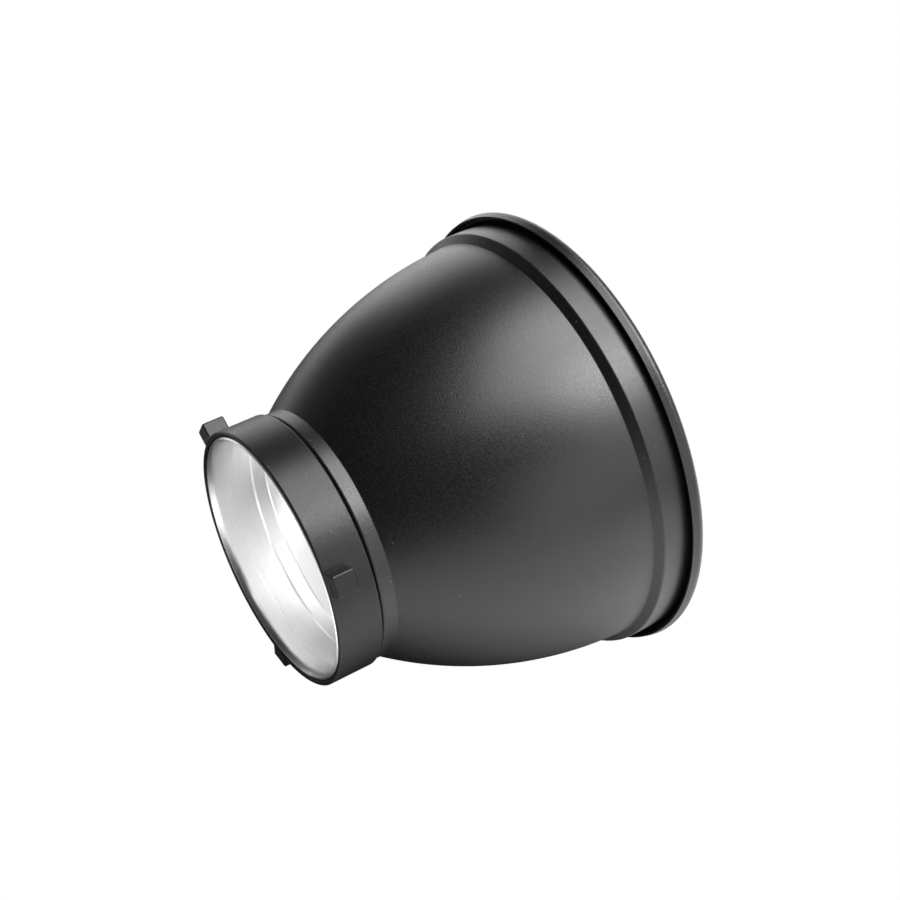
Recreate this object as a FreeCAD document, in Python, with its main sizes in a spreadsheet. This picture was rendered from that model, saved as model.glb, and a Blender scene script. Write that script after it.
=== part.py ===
# Studio flash reflector with a three-lug bayonet collar.
#
# A bowl spun from one aluminium sheet carries a separate black ring on its neck.  The ring is
# the male half of a bayonet mount: three solid lugs stand out of it, each held by two
# countersunk rivets that the bowl's neck covers.
#
# Frame: millimetres, +Z up.  The optical axis is the Y axis.  The origin is the centre of the
# collar's rear face, and the open front of the bowl faces -Y.  One lug points straight down.
# "Depth" below means the distance from the collar's rear face towards the open front.

import FreeCAD, Part
import Sketcher
import math
import os

Vector = FreeCAD.Vector

# alias, value (millimetres or degrees), meaning
DIMENSIONS = [
    ("sheet", 1.0, "thickness of the spun sheet"),
    ("collar_radius", 49.0, "outside of the collar"),
    ("collar_bore", 46.1, "bore of the collar"),
    ("collar_length", 17.2, "length of the collar"),
    ("collar_bevel", 0.5, "bevel on the collar's outer edges"),
    ("mouth_bevel_depth", 2.2, "depth of the bevel that the bowl's lip is turned out over"),
    ("mouth_bevel_rise", 1.5, "how far that bevel opens the bore out"),
    ("sleeve_radius", 45.9, "outside of the sleeve inside the collar"),
    ("lip_depth", 3.25, "depth at which the sleeve's lip starts to turn out"),
    ("lip_radius", 4.0, "turn of the lip"),
    ("lip_sweep", 38.0, "angle of the lip's turn"),
    ("step_depth", 17.0, "depth at which the sleeve steps out to the neck"),
    ("step_slope", 75.0, "slope of that step"),
    ("neck_radius", 48.0, "outside of the neck band"),
    ("dome_radius", 150.3, "radius of the dome's outline"),
    ("dome_apex_depth", 116.6, "depth of the centre of that radius"),
    ("dome_apex_drop", 70.2, "distance of that centre beyond the optical axis"),
    ("shoulder_depth", 109.3, "depth at which the dome ends"),
    ("shoulder_slope", 50.0, "slope of the shoulder"),
    ("seat_radius", 83.0, "outside of the grid seat"),
    ("curl_depth", 125.1, "depth of the rolled rim's centre"),
    ("curl_radius", 1.4, "inside radius of the rolled rim"),
    ("curl_sweep", 195.0, "angle that the rim is rolled through"),
    ("curl_tail", 2.15, "straight end of the rolled rim, which hooks back over the seat"),
    ("tight_bend", 0.6, "radius of the bend inside the collar"),
    ("cove_bend", 0.8, "radius of the coves at both ends of the dome"),
    ("outer_bend", 1.2, "radius of the bends at the neck and the grid seat"),
    ("lug_width", 8.3, "width of a lug around the collar"),
    ("lug_length", 8.7, "length of a lug along the axis"),
    ("lug_setback", 0.3, "from the collar's rear face to the lug"),
    ("lug_reach", 54.7, "from the axis to a lug's flat outer face"),
    ("lug_round", 0.7, "rounding of a lug's outer edges"),
    ("lug_pitch", 120.0, "angle from lug to lug"),
    ("rivet_setback", 3.9, "from the lug's rear face to the first rivet"),
    ("rivet_pitch", 3.0, "from rivet to rivet"),
    ("rivet_shank", 0.9, "radius of a rivet's shank"),
    ("rivet_head", 1.3, "radius of a rivet's countersunk head"),
    ("rivet_tip", 52.4, "from the axis to a rivet's tip"),
    ("rivet_play", 0.05, "clearance around a rivet"),
]

SHEET = "dims"
BOWL_RUNS = ("lip", "sleeve", "step_in", "step_slope", "step_out", "neck", "dome_cove", "dome",
             "shoulder_cove", "shoulder", "seat_in", "seat", "curl", "tail")
AXIS_OF_SYMMETRY = Vector(0, 1, 0)
ORIGIN_POINT = (-1, 1)
RADIAL_AXIS = -2


def make_dimensions(doc):
    """Puts the driving dimensions in a spreadsheet, and returns their values by alias."""
    sheet = doc.addObject("Spreadsheet::Sheet", SHEET)
    for row, (alias, value, meaning) in enumerate(DIMENSIONS, start=1):
        sheet.set(f"A{row}", alias.replace("_", " "))
        sheet.set(f"B{row}", str(value))
        sheet.set(f"C{row}", meaning)
        sheet.setAlias(f"B{row}", alias)
    doc.recompute()
    return {alias: float(sheet.get(alias)) for alias, _, _ in DIMENSIONS}


def bound(formula):
    """Turns a formula in plain aliases into one that reads the spreadsheet."""
    words = formula.split()
    aliases = {alias for alias, _, _ in DIMENSIONS}
    return " ".join(f"{SHEET}.{word}" if word in aliases else word for word in words)


def value_of(formula, size):
    """The value of a formula of aliases and numbers joined by + and -."""
    total = 0.0
    sign = 1.0
    for word in formula.split():
        if word in ("+", "-"):
            sign = 1.0 if word == "+" else -1.0
        else:
            total += sign * (size[word] if word in size else float(word))
    return total


def drive(sketch, kind, where, formula, size, unit=""):
    """Adds a dimension to a sketch and binds it to the spreadsheet."""
    start_value = value_of(formula, size)
    if unit == "deg":
        start_value = math.radians(start_value)
    index = sketch.addConstraint(Sketcher.Constraint(kind, *where, start_value))
    expression = bound(formula)
    if unit:
        expression = f"({expression}) * 1 {unit}"
    sketch.setExpression(f"Constraints[{index}]", expression)


def drive_depth(sketch, point, formula, size):
    """Holds a point's depth, which grows towards -X in every axial section."""
    drive(sketch, "DistanceX", (*point, *ORIGIN_POINT), formula, size)


def drive_radius(sketch, point, formula, size):
    """Holds a point's distance from the optical axis."""
    drive(sketch, "DistanceY", (*ORIGIN_POINT, *point), formula, size)


def origin_plane(body, role):
    """One of a body's own origin planes."""
    return next(item for item in body.Origin.OriginFeatures if item.Role == role)


def new_body(doc, label):
    """An empty body whose label names the file that it is written to."""
    body = doc.addObject("PartDesign::Body", f"{label}_body")
    body.Label = label
    return body


def new_sketch(body, name, role):
    """A sketch on one of the body's own origin planes."""
    sketch = body.newObject("Sketcher::SketchObject", name)
    sketch.AttachmentSupport = [(origin_plane(body, role), "")]
    sketch.MapMode = "FlatFace"
    return sketch


class Outline:
    """Draws lines and bends that run into one another smoothly, from the collar forwards.

    The heading is in degrees: 0 runs towards the open front, 90 away from the optical axis.
    A bend with a positive turn runs outwards, and a negative one inwards.
    """

    def __init__(self, sketch, depth, radius, heading):
        self.sketch = sketch
        self.depth = depth
        self.radius = radius
        self.heading = heading
        self.open_end = None

    def line(self, length):
        begin = Vector(-self.depth, self.radius)
        self.depth += length * math.cos(math.radians(self.heading))
        self.radius += length * math.sin(math.radians(self.heading))
        end = Vector(-self.depth, self.radius)
        self._join(Part.LineSegment(begin, end), begin_point=1, end_point=2)

    def bend(self, bend_radius, turn):
        side = 1 if turn > 0 else -1
        before = math.radians(self.heading)
        after = math.radians(self.heading + turn)
        centre_depth = self.depth - side * bend_radius * math.sin(before)
        centre_radius = self.radius + side * bend_radius * math.cos(before)
        self.depth = centre_depth + side * bend_radius * math.sin(after)
        self.radius = centre_radius - side * bend_radius * math.cos(after)
        self.heading += turn
        circle = Part.Circle(Vector(-centre_depth, centre_radius), Vector(0, 0, 1), bend_radius)
        # seen in the sketch, where depth grows to the left, an outward bend runs clockwise
        if side > 0:
            first, last = -math.pi / 2 - after, -math.pi / 2 - before
            self._join(Part.ArcOfCircle(circle, first, last), begin_point=2, end_point=1)
        else:
            first, last = math.pi / 2 - before, math.pi / 2 - after
            self._join(Part.ArcOfCircle(circle, first, last), begin_point=1, end_point=2)

    def _join(self, curve, begin_point, end_point):
        index = self.sketch.addGeometry(curve)
        if self.open_end:
            tangent = Sketcher.Constraint("Tangent", *self.open_end, index, begin_point)
            self.sketch.addConstraint(tangent)
        self.open_end = (index, end_point)


def slope_length(rise, slope, first_bend, second_bend, first_slope=0.0):
    """Length of the straight run between two opposite bends that climb by rise together."""
    first = first_bend * (math.cos(math.radians(first_slope)) - math.cos(math.radians(slope)))
    second = second_bend * (1 - math.cos(math.radians(slope)))
    return (rise - first - second) / math.sin(math.radians(slope))


def draw_bowl_outline(sketch, size):
    """Draws the sheet's outer line, from the lip in the collar to the rolled rim's free edge."""
    lip_turn = math.radians(size["lip_sweep"])
    start_depth = size["lip_depth"] - size["lip_radius"] * math.sin(lip_turn)
    start_radius = size["sleeve_radius"] + size["lip_radius"] * (1 - math.cos(lip_turn))
    line = Outline(sketch, start_depth, start_radius, -size["lip_sweep"])
    line.bend(size["lip_radius"], size["lip_sweep"])
    line.line(size["step_depth"] - size["lip_depth"])

    line.bend(size["tight_bend"], size["step_slope"])
    neck_rise = size["neck_radius"] - size["sleeve_radius"]
    step = slope_length(neck_rise, size["step_slope"], size["tight_bend"], size["outer_bend"])
    line.line(step)
    line.bend(size["outer_bend"], -size["step_slope"])

    reach = size["dome_radius"] + size["cove_bend"]
    rise = size["neck_radius"] + size["cove_bend"] + size["dome_apex_drop"]
    cove_slope = math.degrees(math.acos(rise / reach))
    cove_depth = size["dome_apex_depth"] - reach * math.sin(math.radians(cove_slope))
    line.line(cove_depth - line.depth)
    line.bend(size["cove_bend"], cove_slope)
    end_offset = size["dome_apex_depth"] - size["shoulder_depth"]
    end_slope = math.degrees(math.asin(end_offset / size["dome_radius"]))
    line.bend(size["dome_radius"], end_slope - cove_slope)

    seat_rise = size["seat_radius"] - line.radius
    line.bend(size["cove_bend"], size["shoulder_slope"] - end_slope)
    shoulder = slope_length(seat_rise, size["shoulder_slope"], size["cove_bend"],
                            size["outer_bend"], end_slope)
    line.line(shoulder)
    line.bend(size["outer_bend"], -size["shoulder_slope"])
    line.line(size["curl_depth"] - line.depth)
    line.bend(size["curl_radius"], size["curl_sweep"])
    line.line(size["curl_tail"])


def drive_bowl_outline(sketch, size):
    """Binds every bend, slope, radius and depth of the outline to the spreadsheet."""
    run = {name: index for index, name in enumerate(BOWL_RUNS)}
    bends = {
        "lip": "lip_radius", "step_in": "tight_bend", "step_out": "outer_bend",
        "dome_cove": "cove_bend", "dome": "dome_radius", "shoulder_cove": "cove_bend",
        "seat_in": "outer_bend", "curl": "curl_radius",
    }
    for name, alias in bends.items():
        drive(sketch, "Radius", (run[name],), alias, size)
    sweeps = {"lip": "lip_sweep", "step_in": "step_slope", "seat_in": "shoulder_slope",
              "curl": "curl_sweep"}
    for name, alias in sweeps.items():
        drive(sketch, "Angle", (run[name],), alias, size, unit="deg")
    levels = {"sleeve": "sleeve_radius", "neck": "neck_radius", "seat": "seat_radius"}
    for name, alias in levels.items():
        sketch.addConstraint(Sketcher.Constraint("Horizontal", run[name]))
        drive_radius(sketch, (run[name], 1), alias, size)
    drive_depth(sketch, (run["sleeve"], 1), "lip_depth", size)
    drive_depth(sketch, (run["sleeve"], 2), "step_depth", size)
    drive_depth(sketch, (run["dome"], 3), "dome_apex_depth", size)
    drive(sketch, "DistanceY", (run["dome"], 3, *ORIGIN_POINT), "dome_apex_drop", size)
    drive_depth(sketch, (run["dome"], 2), "shoulder_depth", size)
    drive_depth(sketch, (run["seat"], 2), "curl_depth", size)
    drive(sketch, "Distance", (run["tail"],), "curl_tail", size)


def make_bowl(doc, size):
    """The spun bowl: an outer line, thickened inwards to a sheet and turned round the axis."""
    sketch = doc.addObject("Sketcher::SketchObject", "bowl_outline")
    # local X lies along +Y and local Y along +Z, as in a body's YZ plane
    sketch.Placement = FreeCAD.Placement(Vector(0, 0, 0), FreeCAD.Rotation(Vector(1, 1, 1), 120))
    draw_bowl_outline(sketch, size)
    drive_bowl_outline(sketch, size)
    doc.recompute()
    section = doc.addObject("Part::Offset2D", "bowl_section")
    section.Source = sketch
    section.Mode = "Skin"
    section.Join = "Arc"
    section.Fill = True
    section.setExpression("Value", bound("sheet"))
    bowl = doc.addObject("Part::Revolution", "bowl")
    bowl.Source = section
    bowl.Axis = AXIS_OF_SYMMETRY
    bowl.Base = Vector(0, 0, 0)
    bowl.Angle = 360
    bowl.Solid = True
    bowl.Label = "reflector_bowl"
    return bowl


def draw_section(sketch, corners, size):
    """A closed polygon whose corners are (depth, radius) formulas; depth None lies at 0."""
    def position(corner):
        depth, radius = corner
        return Vector(-value_of(depth, size) if depth else 0, value_of(radius, size))

    count = len(corners)
    for index in range(count):
        ends = (position(corners[index]), position(corners[(index + 1) % count]))
        sketch.addGeometry(Part.LineSegment(*ends))
    for index in range(count):
        joint = Sketcher.Constraint("Coincident", index, 2, (index + 1) % count, 1)
        sketch.addConstraint(joint)
    for index, (depth, radius) in enumerate(corners):
        drive_radius(sketch, (index, 1), radius, size)
        if depth:
            drive_depth(sketch, (index, 1), depth, size)
        else:
            on_axis = Sketcher.Constraint("PointOnObject", index, 1, RADIAL_AXIS)
            sketch.addConstraint(on_axis)


def rivet_sketch(body, name, place, size, play=""):
    """Half the section of a rivet, or of its hole where play is given, beside its own axis."""
    grow = f" + {play}" if play else ""
    shrink = f" - {play}" if play else ""
    corners = [
        (place, f"collar_bore{shrink}"),
        (f"{place} + rivet_head{grow}", f"collar_bore{shrink}"),
        (f"{place} + rivet_shank{grow}", "collar_bore + rivet_head - rivet_shank"),
        (f"{place} + rivet_shank{grow}", f"rivet_tip{grow}"),
        (place, f"rivet_tip{grow}"),
    ]
    sketch = new_sketch(body, name, "YZ_Plane")
    draw_section(sketch, corners, size)
    centre_line = sketch.addGeometry(
        Part.LineSegment(Vector(-value_of(place, size), 0),
                         Vector(-value_of(place, size), size["sleeve_radius"])), True)
    sketch.addConstraint(Sketcher.Constraint("Vertical", centre_line))
    sketch.addConstraint(Sketcher.Constraint("PointOnObject", centre_line, 1, -1))
    drive_depth(sketch, (centre_line, 1), place, size)
    drive_radius(sketch, (centre_line, 2), "sleeve_radius", size)
    return sketch


RIVET_PLACES = (
    "lug_setback + rivet_setback",
    "lug_setback + rivet_setback + rivet_pitch",
)


def cut_rivet_holes(body, size):
    """Cuts the two countersunk holes of one lug, and returns the cutting features."""
    cuts = []
    for number, place in enumerate(RIVET_PLACES, start=1):
        sketch = rivet_sketch(body, f"{body.Label}_hole_{number}", place, size, "rivet_play")
        body.Document.recompute()
        cut = body.newObject("PartDesign::Groove", f"{body.Label}_cut_{number}")
        cut.Profile = sketch
        cut.ReferenceAxis = (sketch, ["Axis0"])
        cut.Angle = 360
        body.Document.recompute()
        cuts.append(cut)
    return cuts


def repeat_round_axis(body, features, size):
    """Repeats features at all three lugs."""
    pattern = body.newObject("PartDesign::PolarPattern", f"{body.Label}_pattern")
    pattern.Originals = features
    pattern.Axis = (features[0].Profile[0], ["H_Axis"])
    pattern.Angle = 360
    pattern.Occurrences = round(360 / size["lug_pitch"])
    pattern.setExpression("Occurrences", f"360 / {bound('lug_pitch')}")
    body.Tip = pattern
    body.Document.recompute()


def turn_to_lug(body, number):
    """Turns a body about the optical axis to a lug: lug 0 points straight down."""
    body.Placement = FreeCAD.Placement(Vector(0, 0, 0), FreeCAD.Rotation(AXIS_OF_SYMMETRY, 180))
    body.setExpression("Placement.Rotation.Angle", f"180 + {number} * {bound('lug_pitch')}")


def make_collar(doc, size):
    """The bayonet ring, with its bevelled edges and the lugs' rivet holes."""
    body = new_body(doc, "bayonet_collar")
    sketch = new_sketch(body, "collar_section", "YZ_Plane")
    corners = [
        (None, "collar_bore + mouth_bevel_rise"),
        ("mouth_bevel_depth", "collar_bore"),
        ("collar_length", "collar_bore"),
        ("collar_length", "collar_radius - collar_bevel"),
        ("collar_length - collar_bevel", "collar_radius"),
        ("collar_bevel", "collar_radius"),
        (None, "collar_radius - collar_bevel"),
    ]
    draw_section(sketch, corners, size)
    doc.recompute()
    ring = body.newObject("PartDesign::Revolution", "collar_ring")
    ring.Profile = sketch
    ring.ReferenceAxis = (sketch, ["H_Axis"])
    ring.Angle = 360
    doc.recompute()
    plain_volume = ring.Shape.Volume
    repeat_round_axis(body, cut_rivet_holes(body, size), size)
    if body.Shape.Volume >= plain_volume:
        raise RuntimeError("the rivet holes cut nothing out of the collar")
    turn_to_lug(body, 0)
    return body


def draw_lug(sketch, size):
    """A lug seen along the axis: curved where it sits on the collar, flat on top."""
    half = size["lug_width"] / 2
    foot = math.sqrt(size["collar_radius"] ** 2 - half ** 2)
    spread = math.asin(half / size["collar_radius"])
    circle = Part.Circle(Vector(0, 0), Vector(0, 0, 1), size["collar_radius"])
    seat = sketch.addGeometry(
        Part.ArcOfCircle(circle, math.pi / 2 - spread, math.pi / 2 + spread))
    corners = [Vector(-half, foot), Vector(-half, size["lug_reach"]),
               Vector(half, size["lug_reach"]), Vector(half, foot)]
    left, top, right = (sketch.addGeometry(Part.LineSegment(*pair))
                        for pair in zip(corners, corners[1:]))
    for joint in ((seat, 2, left, 1), (left, 2, top, 1), (top, 2, right, 1),
                  (right, 2, seat, 1)):
        sketch.addConstraint(Sketcher.Constraint("Coincident", *joint))
    sketch.addConstraint(Sketcher.Constraint("Coincident", seat, 3, *ORIGIN_POINT))
    drive(sketch, "Radius", (seat,), "collar_radius", size)
    sketch.addConstraint(Sketcher.Constraint("Vertical", left))
    sketch.addConstraint(Sketcher.Constraint("Vertical", right))
    sketch.addConstraint(Sketcher.Constraint("Symmetric", top, 1, top, 2, RADIAL_AXIS))
    drive(sketch, "DistanceX", (top, 1, top, 2), "lug_width", size)
    drive(sketch, "DistanceY", (*ORIGIN_POINT, top, 1), "lug_reach", size)


def outer_edges(shape, size):
    """Names of the edges that stand clear of the collar at one end or both."""
    names = []
    for number, edge in enumerate(shape.Edges, start=1):
        reach = max(vertex.Point.z for vertex in edge.Vertexes)
        if reach > size["collar_radius"] + size["lug_round"]:
            names.append(f"Edge{number}")
    return names


def make_lug(doc, size, number):
    """One bayonet lug, rounded where it meets the flash head, with blind rivet holes."""
    body = new_body(doc, f"bayonet_lug_{number + 1}")
    sketch = new_sketch(body, f"lug_{number}_section", "XZ_Plane")
    sketch.setExpression("AttachmentOffset.Base.z", bound("lug_setback"))
    draw_lug(sketch, size)
    doc.recompute()
    block = body.newObject("PartDesign::Pad", f"lug_{number}_block")
    block.Profile = sketch
    block.setExpression("Length", bound("lug_length"))
    doc.recompute()
    rounded = body.newObject("PartDesign::Fillet", f"lug_{number}_rounding")
    rounded.Base = (block, outer_edges(block.Shape, size))
    rounded.setExpression("Radius", bound("lug_round"))
    doc.recompute()
    solid_volume = rounded.Shape.Volume
    cuts = cut_rivet_holes(body, size)
    body.Tip = cuts[-1]
    doc.recompute()
    if body.Shape.Volume >= solid_volume:
        raise RuntimeError(f"the rivet holes cut nothing out of lug {number}")
    turn_to_lug(body, number)
    return body


def make_rivets(doc, size):
    """The six countersunk rivets, two to a lug."""
    body = new_body(doc, "lug_rivets")
    body.AllowCompound = True
    rivets = []
    for number, place in enumerate(RIVET_PLACES, start=1):
        sketch = rivet_sketch(body, f"rivet_{number}_section", place, size)
        doc.recompute()
        rivet = body.newObject("PartDesign::Revolution", f"rivet_{number}")
        rivet.Profile = sketch
        rivet.ReferenceAxis = (sketch, ["Axis0"])
        rivet.Angle = 360
        doc.recompute()
        rivets.append(rivet)
    repeat_round_axis(body, rivets, size)
    turn_to_lug(body, 0)
    return body


def check(doc, nodes):
    """Stops if any object failed or any sub-part has no valid solid."""
    for item in doc.Objects:
        if {"Invalid", "Error"} & set(item.State):
            raise RuntimeError(f"{item.Name} failed: {item.State}")
    for node in nodes:
        if node.Shape.isNull() or not node.Shape.isValid() or not node.Shape.Solids:
            raise RuntimeError(f"{node.Label} has no valid solid")


def main():
    doc = FreeCAD.newDocument("flash_reflector")
    size = make_dimensions(doc)
    nodes = [make_bowl(doc, size), make_collar(doc, size)]
    nodes += [make_lug(doc, size, number) for number in range(3)]
    nodes.append(make_rivets(doc, size))
    doc.recompute()
    check(doc, nodes)
    os.makedirs("parts", exist_ok=True)
    for node in nodes:
        node.Shape.exportStep(f"parts/{node.Label}.step")
        print(node.Label, len(node.Shape.Solids), "solids", round(node.Shape.Volume), "mm3")


main()
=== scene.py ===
# Looks for a studio flash reflector with a three-lug bayonet collar.
#
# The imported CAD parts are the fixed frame. The spun bowl is rebuilt here as two fitted pieces:
# the bare aluminium sheet, and the black powder coat over its outside and its rolled rim. The
# collar, its lugs and their rivets stay as the CAD nodes and get their finishes.
#
# Lengths are in metres, angles in degrees and the power of lights in watts. "Depth" is the
# distance from the collar's rear face (y = 0) towards the open front (-Y), and "radius" the
# distance from the optical axis (the Y axis).

import math

import bpy
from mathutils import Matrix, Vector


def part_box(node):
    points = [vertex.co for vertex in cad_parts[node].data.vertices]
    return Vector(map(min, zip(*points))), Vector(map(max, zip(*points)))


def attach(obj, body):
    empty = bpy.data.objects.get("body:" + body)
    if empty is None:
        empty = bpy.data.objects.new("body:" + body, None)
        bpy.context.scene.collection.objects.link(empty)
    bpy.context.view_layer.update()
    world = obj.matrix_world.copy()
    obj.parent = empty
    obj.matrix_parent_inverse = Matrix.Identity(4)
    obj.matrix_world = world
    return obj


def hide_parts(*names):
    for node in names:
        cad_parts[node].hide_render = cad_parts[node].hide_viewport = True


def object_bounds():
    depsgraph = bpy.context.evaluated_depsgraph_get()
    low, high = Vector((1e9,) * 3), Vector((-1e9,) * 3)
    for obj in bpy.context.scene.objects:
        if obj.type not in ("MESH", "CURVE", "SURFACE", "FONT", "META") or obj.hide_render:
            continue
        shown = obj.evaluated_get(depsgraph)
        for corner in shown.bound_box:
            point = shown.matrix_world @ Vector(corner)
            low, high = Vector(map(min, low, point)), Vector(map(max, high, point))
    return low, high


MM = 0.001
WHITE = (1, 1, 1, 1)

# ---- the bowl's section, as the CAD part is drawn ----
SHEET = 1.0 * MM
SLEEVE_RADIUS = 45.9 * MM
LIP_DEPTH = 3.25 * MM
LIP_BEND = 4.0 * MM
LIP_SWEEP = 38.0
STEP_DEPTH = 17.0 * MM
STEP_SLOPE = 75.0
NECK_RADIUS = 48.0 * MM
DOME_BEND = 150.3 * MM
DOME_CENTRE_DEPTH = 116.6 * MM
DOME_CENTRE_DROP = 70.2 * MM
SHOULDER_DEPTH = 109.3 * MM
SHOULDER_SLOPE = 50.0
SEAT_RADIUS = 83.0 * MM
CURL_BEND = 1.4 * MM
CURL_SWEEP = 195.0
CURL_TAIL = 2.0 * MM
TIGHT_BEND = 0.6 * MM
COVE_BEND = 0.8 * MM
OUTER_BEND = 1.2 * MM

# ---- the sheet's cut edges ----
EDGE_ROUND = 0.15 * MM
EDGE_STEPS = 3

# ---- the powder coat as a layer: it starts under the collar and ends inside the rolled rim ----
COAT = 0.08 * MM
COAT_TAPER = 0.4 * MM
COAT_START = 15.0 * MM
COAT_END_HEADING = 60.0

# ---- how finely the lathed pieces are divided ----
COLUMNS = 240
BEND_STEP = 7.5
RUN_STEP = 2.0 * MM

# ---- noise textures: how finely they vary, and two ranges that most of their values fill ----
NOISE_DETAIL = 2.0
FINE_DETAIL = 3.0
FINEST_DETAIL = 4.0
NOISE_ROUGHNESS = 0.5
RING_ROUGHNESS = 0.6
NOISE_LOW = 0.35
NOISE_HIGH = 0.65
NOISE_LOWEST = 0.3
NOISE_HIGHEST = 0.7

# ---- the powder coat's colour, gloss and relief ----
COAT_DARK = (0.001, 0.001, 0.00105, 1)
COAT_LIGHT = (0.003, 0.003, 0.0031, 1)
COAT_SMOOTH = 0.34
COAT_ROUGH = 0.42
BOWL_SHINE = 0.5
COLLAR_SHINE = 0.35
GRAIN_SIZE = 0.8 * MM
GRAIN_HEIGHT = 0.035 * MM
PEEL_SIZE = 2.6 * MM
PEEL_HEIGHT = 0.012 * MM

# ---- dust: a speck in DUST_SHARE of the cells, its radius from FULL to END in cell widths ----
DUST_GREY = (0.22, 0.22, 0.22, 1)
DUST_PITCH = 4.5 * MM
DUST_FULL = 0.035
DUST_END = 0.05
DUST_SHARE = 0.28
DUST_COVER = 0.5

# ---- wear on edges, and on cut ends that look back (+Y). START and FULL values are cosines ----
WORN_GREY = (0.6, 0.6, 0.6, 1)
WEAR_REACH = 0.45 * MM
WEAR_SAMPLES = 8
WEAR_START = 0.995
WEAR_FULL = 0.9
CUT_START = 0.9
CUT_FULL = 0.98
CUT_GRAIN = 0.35 * MM
CUT_WEAR = 0.12
COLLAR_WEAR = 0.1
LUG_WEAR = 1.0

# ---- the spun aluminium ----
SILVER_DARK = (0.84, 0.84, 0.84, 1)
SILVER_LIGHT = (0.92, 0.92, 0.92, 1)
SILVER_SMOOTH = 0.27
SILVER_ROUGH = 0.34
SILVER_GRAIN = 0.5 * MM
FINE_RING = 0.35 * MM
FINE_RING_HEIGHT = 0.0015 * MM
BROAD_RING = 2.2 * MM
BROAD_RING_HEIGHT = 0.006 * MM


class Outline:
    """Walks a section with straight runs and bends that meet smoothly.

    The heading is in degrees: 0 runs towards the open front, 90 away from the optical axis. A
    bend with a positive turn runs outwards. marks holds (depth, radius, heading) all along it.
    """

    def __init__(self, depth, radius, heading):
        self.depth = depth
        self.radius = radius
        self.heading = heading
        self.marks = [(depth, radius, heading)]

    def run(self, length):
        """A straight run, divided into equal steps."""
        steps = max(1, math.ceil(length / RUN_STEP))
        along = math.cos(math.radians(self.heading)) * length / steps
        out = math.sin(math.radians(self.heading)) * length / steps
        for _ in range(steps):
            self.depth += along
            self.radius += out
            self.marks.append((self.depth, self.radius, self.heading))

    def bend(self, size, turn):
        """An arc of radius size through turn degrees."""
        side = math.copysign(1.0, turn)
        start = math.radians(self.heading)
        centre_depth = self.depth - side * size * math.sin(start)
        centre_radius = self.radius + side * size * math.cos(start)
        arc_length = size * math.radians(abs(turn))
        steps = max(math.ceil(abs(turn) / BEND_STEP), math.ceil(arc_length / RUN_STEP))
        first = self.heading
        for step in range(1, steps + 1):
            self.heading = first + turn * step / steps
            angle = math.radians(self.heading)
            self.depth = centre_depth + side * size * math.sin(angle)
            self.radius = centre_radius - side * size * math.cos(angle)
            self.marks.append((self.depth, self.radius, self.heading))


def slope_run(rise, slope, first_bend, second_bend, first_slope=0.0):
    """Length of the straight run between two opposite bends that climb by rise together."""
    first = first_bend * (math.cos(math.radians(first_slope)) - math.cos(math.radians(slope)))
    second = second_bend * (1 - math.cos(math.radians(slope)))
    return (rise - first - second) / math.sin(math.radians(slope))


def bowl_outline(curl_depth):
    """The sheet's outer line, from the lip in the collar to the rolled rim's free edge."""
    sweep = math.radians(LIP_SWEEP)
    line = Outline(LIP_DEPTH - LIP_BEND * math.sin(sweep),
                   SLEEVE_RADIUS + LIP_BEND * (1 - math.cos(sweep)), -LIP_SWEEP)
    line.bend(LIP_BEND, LIP_SWEEP)
    line.run(STEP_DEPTH - LIP_DEPTH)

    line.bend(TIGHT_BEND, STEP_SLOPE)
    line.run(slope_run(NECK_RADIUS - SLEEVE_RADIUS, STEP_SLOPE, TIGHT_BEND, OUTER_BEND))
    line.bend(OUTER_BEND, -STEP_SLOPE)

    reach = DOME_BEND + COVE_BEND
    cove_slope = math.degrees(math.acos((NECK_RADIUS + COVE_BEND + DOME_CENTRE_DROP) / reach))
    cove_depth = DOME_CENTRE_DEPTH - reach * math.sin(math.radians(cove_slope))
    line.run(cove_depth - line.depth)
    line.bend(COVE_BEND, cove_slope)
    end_slope = math.degrees(math.asin((DOME_CENTRE_DEPTH - SHOULDER_DEPTH) / DOME_BEND))
    line.bend(DOME_BEND, end_slope - cove_slope)

    seat_rise = SEAT_RADIUS - line.radius
    line.bend(COVE_BEND, SHOULDER_SLOPE - end_slope)
    line.run(slope_run(seat_rise, SHOULDER_SLOPE, COVE_BEND, OUTER_BEND, end_slope))
    line.bend(OUTER_BEND, -SHOULDER_SLOPE)
    line.run(curl_depth - line.depth)
    line.bend(CURL_BEND, CURL_SWEEP)
    line.run(CURL_TAIL)
    return line.marks


def edge_cap(mark, direction):
    """Points round the sheet's cut edge at one end of its outline, with rounded corners.

    direction is 1 at the end of the outline and -1 at its start. The points run from the outer
    side to the inner side, each with its outward direction, as (depth, radius) vectors.
    """
    depth, radius, heading = mark
    angle = math.radians(heading)
    along = Vector((math.cos(angle), math.sin(angle))) * direction
    out = Vector((-math.sin(angle), math.cos(angle)))
    middle = Vector((depth, radius)) - out * SHEET / 2
    turns = [math.radians(90 * step / EDGE_STEPS) for step in range(1, EDGE_STEPS + 1)]
    points = []
    for side, side_turns in ((1, turns), (-1, turns[::-1])):
        corner = middle + out * side * (SHEET / 2 - EDGE_ROUND)
        for turn in side_turns:
            toward = out * side * math.cos(turn) + along * math.sin(turn)
            points.append((corner + toward * EDGE_ROUND, toward))
    return points


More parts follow.
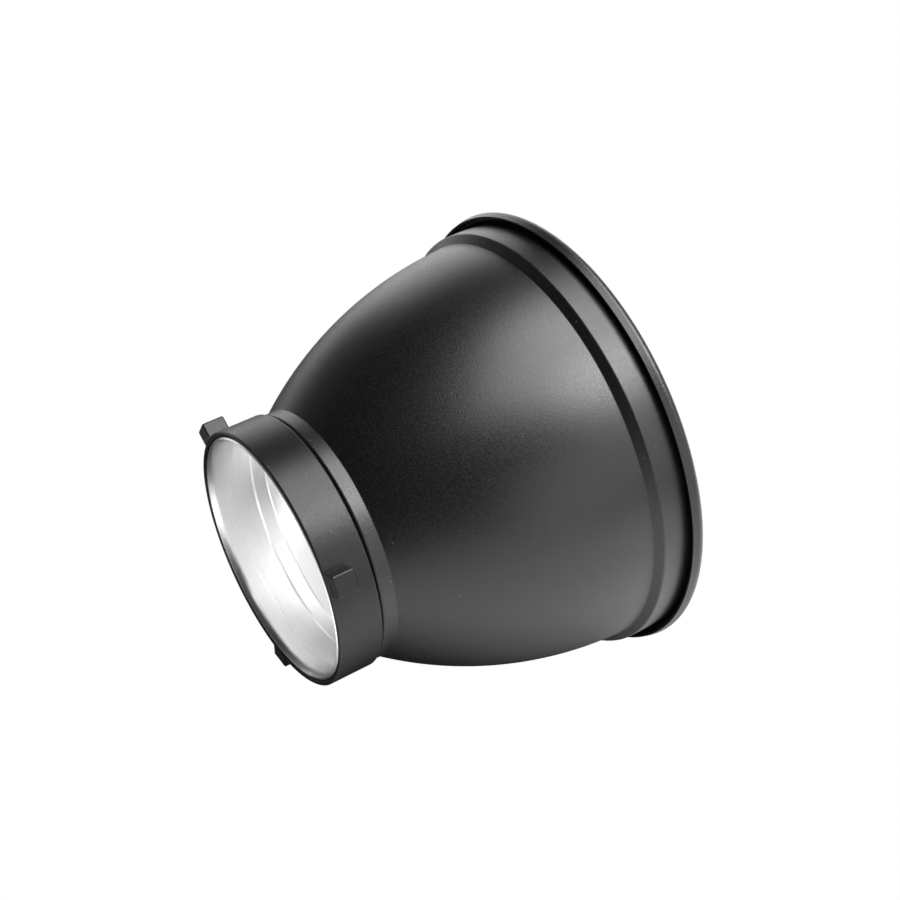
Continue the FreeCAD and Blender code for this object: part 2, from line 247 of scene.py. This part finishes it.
def sheet_loop(marks):
    """The whole closed section of the sheet as (point, outward direction) pairs.

    It runs forwards along the outside, round the free edge of the rolled rim, back along the
    inside and round the lip's edge.
    """
    outside = []
    inside = []
    for depth, radius, heading in marks:
        angle = math.radians(heading)
        out = Vector((-math.sin(angle), math.cos(angle)))
        point = Vector((depth, radius))
        outside.append((point, out))
        inside.append((point - out * SHEET, -out))
    rim_edge = edge_cap(marks[-1], 1)
    lip_edge = edge_cap(marks[0], -1)
    return outside + rim_edge + inside[::-1] + lip_edge[::-1]


def painted_span(loop, marks):
    """Indices of the first and the last point of the closed section that carry the coat.

    The section ends with the inside, which runs back from the rolled rim to the lip, and the
    lip's edge. All of the inside is bare but the part within the rolled rim.
    """
    first = next(i for i, mark in enumerate(marks) if mark[0] > COAT_START)
    bare = sum(1 for mark in marks if mark[2] < COAT_END_HEADING or mark[0] < DOME_CENTRE_DEPTH)
    inside_end = len(loop) - 2 * EDGE_STEPS - 1
    return first, inside_end - bare


def ease(share):
    """Turns an even climb from 0 to 1 into one that starts and ends gently."""
    return share * share * (3 - 2 * share)


def coat_depths(loop, first, last):
    """Thickness of the coat at each point of the section, feathered out at both ends."""
    along = [0.0]
    for index in range(first + 1, last + 1):
        along.append(along[-1] + (loop[index][0] - loop[index - 1][0]).length)
    depths = [0.0] * len(loop)
    for index in range(first, last + 1):
        from_start = along[index - first]
        share = min(1.0, from_start / COAT_TAPER, (along[-1] - from_start) / COAT_TAPER)
        depths[index] = COAT * ease(share)
    return depths


def lathe(name, section):
    """Turns a closed section of (point, outward direction) pairs round the optical axis."""
    verts = []
    normals = []
    for column in range(COLUMNS):
        angle = 2 * math.pi * column / COLUMNS
        across = math.cos(angle)
        up = math.sin(angle)
        for point, out in section:
            verts.append((point.y * across, -point.x, point.y * up))
            normals.append((out.y * across, -out.x, out.y * up))
    count = len(section)
    faces = []
    for column in range(COLUMNS):
        here = column * count
        there = (column + 1) % COLUMNS * count
        for ring in range(count):
            after = (ring + 1) % count
            faces.append((here + ring, there + ring, there + after, here + after))
    mesh = bpy.data.meshes.new(name)
    mesh.from_pydata(verts, [], faces)
    mesh.validate()
    mesh.polygons.foreach_set("use_smooth", [True] * len(mesh.polygons))
    mesh.normals_split_custom_set_from_vertices(normals)
    piece = bpy.data.objects.new(name, mesh)
    bpy.context.scene.collection.objects.link(piece)
    return piece


def make_bowl(curl_depth):
    """The bare sheet, thinned where the coat lies, and the coat, which brings it to size."""
    marks = bowl_outline(curl_depth)
    loop = sheet_loop(marks)
    first, last = painted_span(loop, marks)
    depths = coat_depths(loop, first, last)
    bare = [(point - out * depth, out) for (point, out), depth in zip(loop, depths)]
    sheet = lathe("bowl_sheet", bare)
    face = loop[first:last + 1]
    back = [(point, -out) for point, out in bare[first + 1:last]]
    coat = lathe("bowl_coat", face + back[::-1])
    return sheet, coat


# ---- materials ----


class Nodes:
    """Short ways to add and join the shader nodes of one material or world.

    A node's inputs are given by name or by number.
    """

    def __init__(self, owner):
        owner.use_nodes = True
        self.tree = owner.node_tree

    def join(self, value, socket):
        """Sets an input socket to a plain value, or links it to an output socket."""
        if isinstance(value, bpy.types.NodeSocket):
            self.tree.links.new(value, socket)
        else:
            socket.default_value = value

    def add(self, kind, inputs=None, **settings):
        node = self.tree.nodes.new(kind)
        for key, value in settings.items():
            setattr(node, key, value)
        for key, value in (inputs or {}).items():
            self.join(value, node.inputs[key])
        return node

    def place(self):
        """Position in the part's own frame, where every piece has its origin."""
        return self.add("ShaderNodeTexCoord").outputs["Object"]

    def noise(self, where, size, detail=NOISE_DETAIL, roughness=NOISE_ROUGHNESS):
        """Noise whose blotches are about size across."""
        inputs = {"Vector": where, "Scale": 1.0 / size, "Detail": detail, "Roughness": roughness}
        return self.add("ShaderNodeTexNoise", inputs).outputs["Fac"]

    def remap(self, value, low, high, to_low, to_high, smooth=False):
        """Maps low..high to to_low..to_high, held at both ends."""
        inputs = {"Value": value, "From Min": low, "From Max": high, "To Min": to_low,
                  "To Max": to_high}
        kind = "SMOOTHSTEP" if smooth else "LINEAR"
        node = self.add("ShaderNodeMapRange", inputs, interpolation_type=kind)
        return node.outputs["Result"]

    def math(self, operation, first, second=0.0):
        return self.add("ShaderNodeMath", {0: first, 1: second}, operation=operation).outputs[0]

    def blend(self, share, first, second):
        """Mixes two colours by share, 0 to 1.

        The colour inputs of a mix node are its 6 and 7, and its colour output is 2.
        """
        node = self.add("ShaderNodeMix", {0: share, 6: first, 7: second}, data_type="RGBA")
        return node.outputs[2]

    def bump(self, height, distance, below=None):
        inputs = {"Height": height, "Distance": distance, "Strength": 1.0}
        if below is not None:
            inputs["Normal"] = below
        return self.add("ShaderNodeBump", inputs).outputs["Normal"]

    def feed(self, **sockets):
        """Gives values to the Principled shader; names use _ for a space."""
        shader = self.tree.nodes["Principled BSDF"]
        for key, value in sockets.items():
            self.join(value, shader.inputs[key.replace("_", " ")])


def worn_share(nodes, rounded):
    """How much metal shows: all of it on sharp edges, a little on the faces that look back.

    rounded is the surface direction with every sharp edge softened.
    """
    true_normal = nodes.add("ShaderNodeNewGeometry").outputs["Normal"]
    agree = nodes.add("ShaderNodeVectorMath", {0: rounded, 1: true_normal},
                      operation="DOT_PRODUCT").outputs["Value"]
    edge = nodes.remap(agree, WEAR_FULL, WEAR_START, 1.0, 0.0)
    back = nodes.add("ShaderNodeSeparateXYZ", {0: true_normal}).outputs["Y"]
    cut = nodes.remap(back, CUT_START, CUT_FULL, 0.0, CUT_WEAR)
    rubbed = nodes.math("MULTIPLY", cut, nodes.noise(nodes.place(), CUT_GRAIN))
    return nodes.math("MAXIMUM", edge, rubbed)


def dust(nodes):
    """1 on rare tiny specks: one in a few of the cells that the surface is divided into."""
    cells = nodes.add("ShaderNodeTexVoronoi", {"Vector": nodes.place(), "Scale": 1 / DUST_PITCH})
    dot = nodes.remap(cells.outputs["Distance"], DUST_FULL, DUST_END, 1.0, 0.0)
    lot = nodes.add("ShaderNodeSeparateColor", {0: cells.outputs["Color"]}).outputs["Red"]
    return nodes.math("MULTIPLY", dot, nodes.math("GREATER_THAN", lot, 1.0 - DUST_SHARE))


def powder_coat(name, shine, wear=None):
    """Black powder coat: a fine grain, slight orange peel and specks of dust.

    wear is given where the coat softens sharp edges: 0 leaves them black, and 1 lets grey metal
    show through.
    """
    material = bpy.data.materials.new(name)
    nodes = Nodes(material)
    where = nodes.place()
    grain = nodes.noise(where, GRAIN_SIZE, FINE_DETAIL)
    tone = nodes.remap(grain, NOISE_LOW, NOISE_HIGH, 0.0, 1.0)
    colour = nodes.blend(tone, COAT_DARK, COAT_LIGHT)
    colour = nodes.blend(nodes.math("MULTIPLY", dust(nodes), DUST_COVER), colour, DUST_GREY)
    rough = nodes.remap(grain, NOISE_LOWEST, NOISE_HIGHEST, COAT_SMOOTH, COAT_ROUGH)
    rounded = None
    metal = 0.0
    if wear is not None:
        bevel = nodes.add("ShaderNodeBevel", {"Radius": WEAR_REACH}, samples=WEAR_SAMPLES)
        rounded = bevel.outputs["Normal"]
        metal = nodes.math("MULTIPLY", worn_share(nodes, rounded), wear)
        colour = nodes.blend(metal, colour, WORN_GREY)
    bump = nodes.bump(nodes.noise(where, PEEL_SIZE), PEEL_HEIGHT, rounded)
    bump = nodes.bump(grain, GRAIN_HEIGHT, bump)
    nodes.feed(Base_Color=colour, Metallic=metal, Roughness=rough, Normal=bump,
               Specular_IOR_Level=shine)
    return material


def spun_aluminium(name):
    """Satin aluminium with the fine rings that spinning leaves."""
    material = bpy.data.materials.new(name)
    nodes = Nodes(material)
    where = nodes.place()
    across, depth, up = nodes.add("ShaderNodeSeparateXYZ", {0: where}).outputs
    squares = nodes.math("ADD", nodes.math("MULTIPLY", across, across),
                         nodes.math("MULTIPLY", up, up))
    radius = nodes.math("SQRT", squares)
    ring = nodes.add("ShaderNodeCombineXYZ", {0: radius, 1: depth}).outputs[0]
    fine = nodes.noise(ring, FINE_RING, FINEST_DETAIL, RING_ROUGHNESS)
    broad = nodes.noise(ring, BROAD_RING)
    grain = nodes.noise(where, SILVER_GRAIN, FINE_DETAIL)
    low = 2 * NOISE_LOW
    high = 2 * NOISE_HIGH
    tone = nodes.remap(nodes.math("ADD", fine, grain), low, high, 0.0, 1.0)
    colour = nodes.blend(tone, SILVER_DARK, SILVER_LIGHT)
    rough = nodes.remap(nodes.math("ADD", broad, fine), low, high, SILVER_SMOOTH, SILVER_ROUGH)
    bump = nodes.bump(broad, BROAD_RING_HEIGHT)
    bump = nodes.bump(fine, FINE_RING_HEIGHT, bump)
    nodes.feed(Base_Color=colour, Roughness=rough, Normal=bump, Metallic=1.0)
    return material


# ---- the studio ----

# the camera stands where the photograph was taken from
CAMERA_PLACE = Vector((-0.3997, 0.1888, 0.4584))
CAMERA_AIM = Vector((-0.0027, -0.0754, 0.0167))
CAMERA_LENS = 71.3
SENSOR = 36.0

LIGHT_DISTANCE = 1.0

# brightness of the room, of its pale band and of the backdrop; how high both reach, as sines of
# the elevation; and how far the backdrop spreads to either side of straight ahead
ROOM_LEVEL = 0.02
HORIZON_LEVEL = 0.12
BACKDROP_LEVEL = 0.8
BACKDROP_TOP = 0.6
BACKDROP_FULL = 0.25
BACKDROP_SPREAD = 60.0

# the floor, and the round shade on it under the far side of the bowl
FLOOR_REACH = 6.0
FLOOR_TONE = 0.8
FLOOR_ROUGH = 0.9
FLOOR_GLOW = 0.5
SHADE_TONE = 0.04
SHADE_PLACE = Vector((0.17, -0.06, 0.0))
SHADE_FULL = 0.20
SHADE_END = 0.33
LEVEL_PART = (1, 1, 0)


def make_camera():
    data = bpy.data.cameras.new("studio_camera")
    data.lens = CAMERA_LENS
    data.sensor_width = SENSOR
    camera = bpy.data.objects.new("studio_camera", data)
    camera.location = CAMERA_PLACE
    camera.rotation_mode = "QUATERNION"
    camera.rotation_quaternion = (CAMERA_AIM - CAMERA_PLACE).to_track_quat("-Z", "Y")
    bpy.context.scene.collection.objects.link(camera)
    bpy.context.scene.camera = camera


def softbox(name, aim, azimuth, elevation, width, height, power):
    """A soft rectangular light that faces aim. Azimuth 0 is over +Y and 90 over +X."""
    turn = math.radians(azimuth)
    lift = math.radians(elevation)
    toward = Vector((math.sin(turn) * math.cos(lift), math.cos(turn) * math.cos(lift),
                     math.sin(lift)))
    data = bpy.data.lights.new(name, "AREA")
    data.shape = "RECTANGLE"
    data.size = width
    data.size_y = height
    data.energy = power
    light = bpy.data.objects.new(name, data)
    light.location = aim + toward * LIGHT_DISTANCE
    light.rotation_mode = "QUATERNION"
    light.rotation_quaternion = (-toward).to_track_quat("-Z", "Y")
    light.visible_camera = False
    bpy.context.scene.collection.objects.link(light)


def make_floor(level):
    """A plain pale floor that glows a little, but is shaded under the far side of the bowl.

    The camera itself sees the floor evenly white.
    """
    mesh = bpy.data.meshes.new("floor")
    corners = [(-FLOOR_REACH, -FLOOR_REACH, level), (FLOOR_REACH, -FLOOR_REACH, level),
               (FLOOR_REACH, FLOOR_REACH, level), (-FLOOR_REACH, FLOOR_REACH, level)]
    mesh.from_pydata(corners, [], [(0, 1, 2, 3)])
    floor = bpy.data.objects.new("floor", mesh)
    bpy.context.scene.collection.objects.link(floor)
    material = bpy.data.materials.new("pale_floor")
    nodes = Nodes(material)
    flat = nodes.add("ShaderNodeVectorMath", {0: nodes.place(), 1: LEVEL_PART},
                     operation="MULTIPLY").outputs["Vector"]
    away = nodes.add("ShaderNodeVectorMath", {0: flat, 1: SHADE_PLACE},
                     operation="DISTANCE").outputs["Value"]
    tone = nodes.remap(away, SHADE_FULL, SHADE_END, SHADE_TONE, FLOOR_TONE, smooth=True)
    glow = nodes.remap(away, SHADE_FULL, SHADE_END, 0.0, FLOOR_GLOW, smooth=True)
    nodes.feed(Base_Color=tone, Roughness=FLOOR_ROUGH, Emission_Color=WHITE,
               Emission_Strength=glow)
    plain = nodes.add("ShaderNodeEmission", {"Strength": 1.0}).outputs[0]
    seen = nodes.add("ShaderNodeLightPath").outputs["Is Camera Ray"]
    shader = nodes.tree.nodes["Principled BSDF"].outputs[0]
    mix = nodes.add("ShaderNodeMixShader", {0: seen, 1: shader, 2: plain}).outputs[0]
    nodes.join(mix, nodes.tree.nodes["Material Output"].inputs[0])
    mesh.materials.append(material)


def make_world():
    """A dim room, paler near the horizon, with a bright backdrop before the open mouth (-Y).

    The camera itself sees the room evenly white.
    """
    world = bpy.data.worlds.new("studio")
    nodes = Nodes(world)
    direction = nodes.add("ShaderNodeTexCoord").outputs["Generated"]
    _, along, up = nodes.add("ShaderNodeSeparateXYZ", {0: direction}).outputs
    flat_part = nodes.math("SQRT", nodes.math("SUBTRACT", 1.0, nodes.math("MULTIPLY", up, up)))
    toward_front = nodes.math("DIVIDE", nodes.math("MULTIPLY", along, -1.0), flat_part)
    spread = math.cos(math.radians(BACKDROP_SPREAD))
    front = nodes.remap(toward_front, spread, 1.0, 0.0, BACKDROP_LEVEL, smooth=True)
    low = nodes.remap(up, BACKDROP_FULL, BACKDROP_TOP, 1.0, 0.0, smooth=True)
    band = nodes.math("MULTIPLY", low, nodes.math("ADD", front, HORIZON_LEVEL))
    light = nodes.math("ADD", band, ROOM_LEVEL)
    seen = nodes.add("ShaderNodeLightPath").outputs["Is Camera Ray"]
    background = nodes.tree.nodes["Background"]
    nodes.join(nodes.math("MAXIMUM", seen, light), background.inputs["Strength"])
    nodes.join(WHITE, background.inputs["Color"])
    bpy.context.scene.world = world


def dress(piece, material):
    piece.data.materials.clear()
    piece.data.materials.append(material)


def fit_bowl():
    """Stands the sheet and its coat in for the CAD bowl, whose box gives the open front."""
    front = -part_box("reflector_bowl")[0].y
    sheet, coat = make_bowl(front - (CURL_BEND + SHEET))
    for piece, slot in ((sheet, "satin_aluminium"), (coat, "black_powder_coat")):
        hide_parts("reflector_bowl")
        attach(piece, "root")
    return sheet, coat


def finish_pieces(sheet, coat, cad_nodes):
    """Gives every visible piece its material."""
    collar_finish = powder_coat("collar_powder_coat", COLLAR_SHINE, wear=COLLAR_WEAR)
    lug_finish = powder_coat("lug_powder_coat", COLLAR_SHINE, wear=LUG_WEAR)
    silver_finish = spun_aluminium("spun_aluminium")
    dress(coat, powder_coat("bowl_powder_coat", BOWL_SHINE))
    dress(sheet, silver_finish)
    for name, piece in cad_nodes.items():
        if name.startswith("bayonet_lug"):
            dress(piece, lug_finish)
        elif name.startswith("bayonet"):
            dress(piece, collar_finish)
        elif name == "lug_rivets":
            dress(piece, silver_finish)


def make_lights(aim):
    """Six softboxes, all facing aim."""
    softbox("top_softbox", aim, azimuth=210, elevation=76, width=0.8, height=0.6, power=10.0)
    softbox("key_softbox", aim, azimuth=221, elevation=52, width=0.5, height=0.4, power=9.7)
    softbox("fill_softbox", aim, azimuth=160, elevation=61, width=0.5, height=0.4, power=3.4)
    softbox("left_softbox", aim, azimuth=250, elevation=22, width=1.2, height=0.6, power=4.1)
    softbox("right_softbox", aim, azimuth=122, elevation=9, width=0.9, height=0.5, power=2.6)
    softbox("low_softbox", aim, azimuth=283, elevation=1, width=1.0, height=0.35, power=1.0)


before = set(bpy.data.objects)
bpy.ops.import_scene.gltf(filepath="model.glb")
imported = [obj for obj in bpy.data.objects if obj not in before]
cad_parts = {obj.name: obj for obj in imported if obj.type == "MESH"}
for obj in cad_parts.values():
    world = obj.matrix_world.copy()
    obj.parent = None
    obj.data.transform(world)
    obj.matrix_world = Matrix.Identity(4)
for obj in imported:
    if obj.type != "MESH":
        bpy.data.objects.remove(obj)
cad_low, cad_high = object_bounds()

bowl_sheet, bowl_coat = fit_bowl()
finish_pieces(bowl_sheet, bowl_coat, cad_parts)

make_camera()
make_floor(cad_low.z)
make_world()
make_lights((cad_low + cad_high) / 2)
bpy.context.scene.view_settings.view_transform = "Standard"
